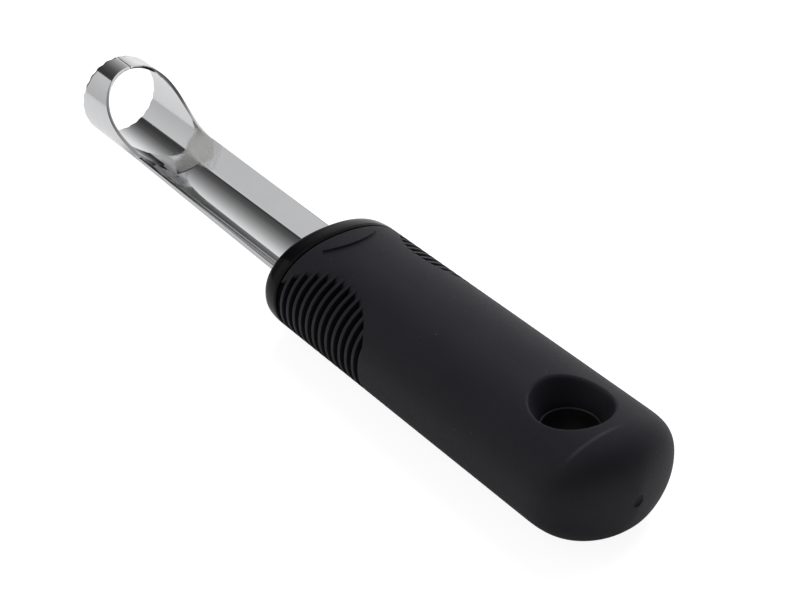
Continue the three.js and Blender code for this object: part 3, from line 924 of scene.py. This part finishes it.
# %% The steel's finish
stretched = add(tree, "ShaderNodeMapping", {"Vector": coords, "Scale": (0.03, 1, 1)})
lines = add(tree, "ShaderNodeTexNoise", {"Vector": stretched.outputs["Vector"], "Scale": 2200, "Detail": 4})
smears = add(tree, "ShaderNodeTexNoise", {"Vector": coords, "Scale": 140, "Detail": 5})
clean = tinted(tree, smears.outputs["Fac"], (0.72, 0.725, 0.735), (0.78, 0.782, 0.79))
hazy = tinted(tree, haze, clean, (0.63, 0.625, 0.61))
# The near half of the neck takes a darker base colour here: painted shade.
tree.links.new(tinted(tree, painted_shade, hazy, (0.34, 0.34, 0.35)), shader.inputs["Base Color"])
polish = between(tree, all_of(lines.outputs["Fac"], smears.outputs["Fac"]), 0.035, 0.13)
tree.links.new(worked_out(tree, "MULTIPLY_ADD", blur, 0.22, polish), shader.inputs["Roughness"])
set_bump(tree, shader, lines.outputs["Fac"], 0.02, 0.02 * mm)
shader.inputs["Metallic"].default_value = 1
print("material:", steel.name)

# %% [markdown]
# ## Finishing the pieces
# Each piece takes its material, rides on the part's one body and stands for its CAD node, which is
# hidden.

# %% Dress the pieces
for piece, material, node, slot in ((blade, steel, "corer_blade", "blade_steel"),
                                    (collar, collar_gloss, "front_collar", "collar_plastic"),
                                    (core, core_satin, "handle_core", "core_plastic"),
                                    (grip, rubber, "grip_sleeve", "grip_rubber")):
    piece.data.materials.clear()
    piece.data.materials.append(material)
    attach(piece, "root")
    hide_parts(node)
    print(piece.name, "stands for", node, "with", material.name)

# %% [markdown]
# ## The studio
# Bright metal shows its surroundings, so the studio matters as much as the steel. The world is drawn as
# bands that run along the tool: a grey panel on the near side with a crisp upper edge, a dark gap above,
# and a white sweep rising on the far side. A dark card hangs over the far side, and the room is darker
# straight ahead and behind. The floor is white and keeps a soft shadow under the tool. From below it is
# clear, so that the underside can be looked at.

# %% The world in bands
scene = bpy.context.scene
scene.view_settings.view_transform = "Standard"
scene.world = bpy.data.worlds.new("studio")
scene.world.use_nodes = True
tree = scene.world.node_tree
towards = add(tree, "ShaderNodeSeparateXYZ", {0: add(tree, "ShaderNodeTexCoord").outputs["Generated"]})
ahead = towards.outputs["X"]
around = worked_out(tree, "ARCTAN2", towards.outputs["Z"], towards.outputs["Y"])
bands = add(tree, "ShaderNodeValToRGB", {"Fac": rising(tree, around, -math.pi, math.pi)})
band_stops = [(-180, 0.95), (-172, 0.75), (-8, 0.75), (-5, 0.56), (12, 0.58), (44, 0.65), (62.6, 0.69),
              (63.6, 0.045), (76, 0.055), (92, 0.105), (108, 0.25), (124, 0.46), (140, 0.72), (156, 0.95),
              (172, 1.0), (180, 0.95)]
marks = bands.color_ramp.elements
while len(marks) < len(band_stops):
    marks.new(0.5)
for mark, (angle, level) in zip(marks, band_stops):
    mark.position, mark.color = (angle + 180) / 360, (level, level, level * 1.005, 1)
print("world with", len(band_stops), "bands")

# %% Lighter and darker parts of the room
backdrop = tree.nodes["Background"]
least = add(tree, "ShaderNodeMapRange", {"Value": ahead, "From Min": 0.645, "From Max": 0.675,
                                         "To Min": 0.36, "To Max": 0}).outputs["Result"]
lighter = add(tree, "ShaderNodeMix", {"Factor": 1, 6: bands.outputs["Color"], 7: least},
              data_type="RGBA", blend_type="LIGHTEN")
tree.links.new(lighter.outputs[2], backdrop.inputs["Color"])
dim_behind = add(tree, "ShaderNodeMapRange", {"Value": ahead, "From Min": -0.5, "From Max": 0.35, "To Min": 0.3,
                                              "To Max": 1}, interpolation_type="SMOOTHSTEP").outputs["Result"]
straight_ahead = rising(tree, ahead, 0.8, 0.86)
card = all_of(rising(tree, ahead, 0.645, 0.66), rising(tree, ahead, 0.7, 0.69),
            rising(tree, around, math.radians(54), math.radians(57)))
strength = all_of(dim_behind, between(tree, straight_ahead, 1, 0.3), between(tree, card, 1, 0.1))
tree.links.new(strength, backdrop.inputs["Strength"])
print("room dimmed behind, straight ahead and at the card")

# %% The floor
clear_selection()
bpy.ops.mesh.primitive_plane_add(size=3)
floor = bpy.context.object
floor.name = "white_floor"
white, tree, shader = new_material("white_sheet")
seen_glow, mirrored_glow = 0.91, 0.14
paper = add(tree, "ShaderNodeTexNoise", {"Vector": object_place(tree), "Scale": 900})
rays = add(tree, "ShaderNodeLightPath")
plain = tinted(tree, paper.outputs["Fac"], (0.32, 0.32, 0.32), (0.33, 0.33, 0.33))
tree.links.new(tinted(tree, rays.outputs["Is Glossy Ray"], plain, (0.8, 0.8, 0.8)), shader.inputs["Base Color"])
shader.inputs["Roughness"].default_value = 0.9
seen = worked_out(tree, "MULTIPLY", rays.outputs["Is Camera Ray"], seen_glow)
glow = worked_out(tree, "MULTIPLY_ADD", rays.outputs["Is Glossy Ray"], mirrored_glow, seen)
shader.inputs["Emission Color"].default_value = (1, 1, 1, 1)
tree.links.new(glow, shader.inputs["Emission Strength"])
from_below = add(tree, "ShaderNodeNewGeometry").outputs["Backfacing"]
tree.links.new(between(tree, from_below, 1, 0), shader.inputs["Alpha"])
floor.data.materials.append(white)
print("floor", floor.dimensions.x, "m wide")

# %% [markdown]
# ## The lamp
# One large soft lamp lights what isn't mirror-like. It hangs above the far side, where the photograph's
# light falls from, and stays out of mirror reflections, which the bands make.

# %% A soft lamp
lamp = bpy.data.objects.new("far_lamp", bpy.data.lights.new("far_lamp", "AREA"))
scene.collection.objects.link(lamp)
lamp.data.size, lamp.data.energy = 0.9, 10
lamp.location = (0.35, -0.6, 0.9)
lamp.rotation_euler = (-lamp.location).to_track_quat("-Z", "Y").to_euler()
lamp.visible_glossy = False
print("lamp of", lamp.data.energy, "W")

# %% [markdown]
# ## The camera
# The camera stands behind the tool's tail, on its near side, and looks down along it. Its place and
# lens were found by fitting the outlines of the ring, the collar, the handle and the hole.

# %% Place the camera
view_down, view_aside = 0.5815415, 0.6400433
camera_place = (-0.2975604, 0.2059580, 0.2322076 + axis_height)
level_forward = Vector((math.cos(view_aside), -math.sin(view_aside), 0))
forward = level_forward * math.cos(view_down) - Vector((0, 0, 1)) * math.sin(view_down)
right = Vector((-math.sin(view_aside), -math.cos(view_aside), 0))
camera_turn = Matrix((right, right.cross(forward), -forward)).transposed().to_4x4()
camera = bpy.data.objects.new("camera", bpy.data.cameras.new("camera"))
scene.collection.objects.link(camera)
camera.matrix_world = Matrix.Translation(camera_place) @ camera_turn
camera.data.sensor_fit, camera.data.sensor_width, camera.data.lens = "HORIZONTAL", 36, 90
camera.data.clip_start = 0.01
scene.camera = camera
print("camera looks down", round(math.degrees(view_down), 1), "degrees")
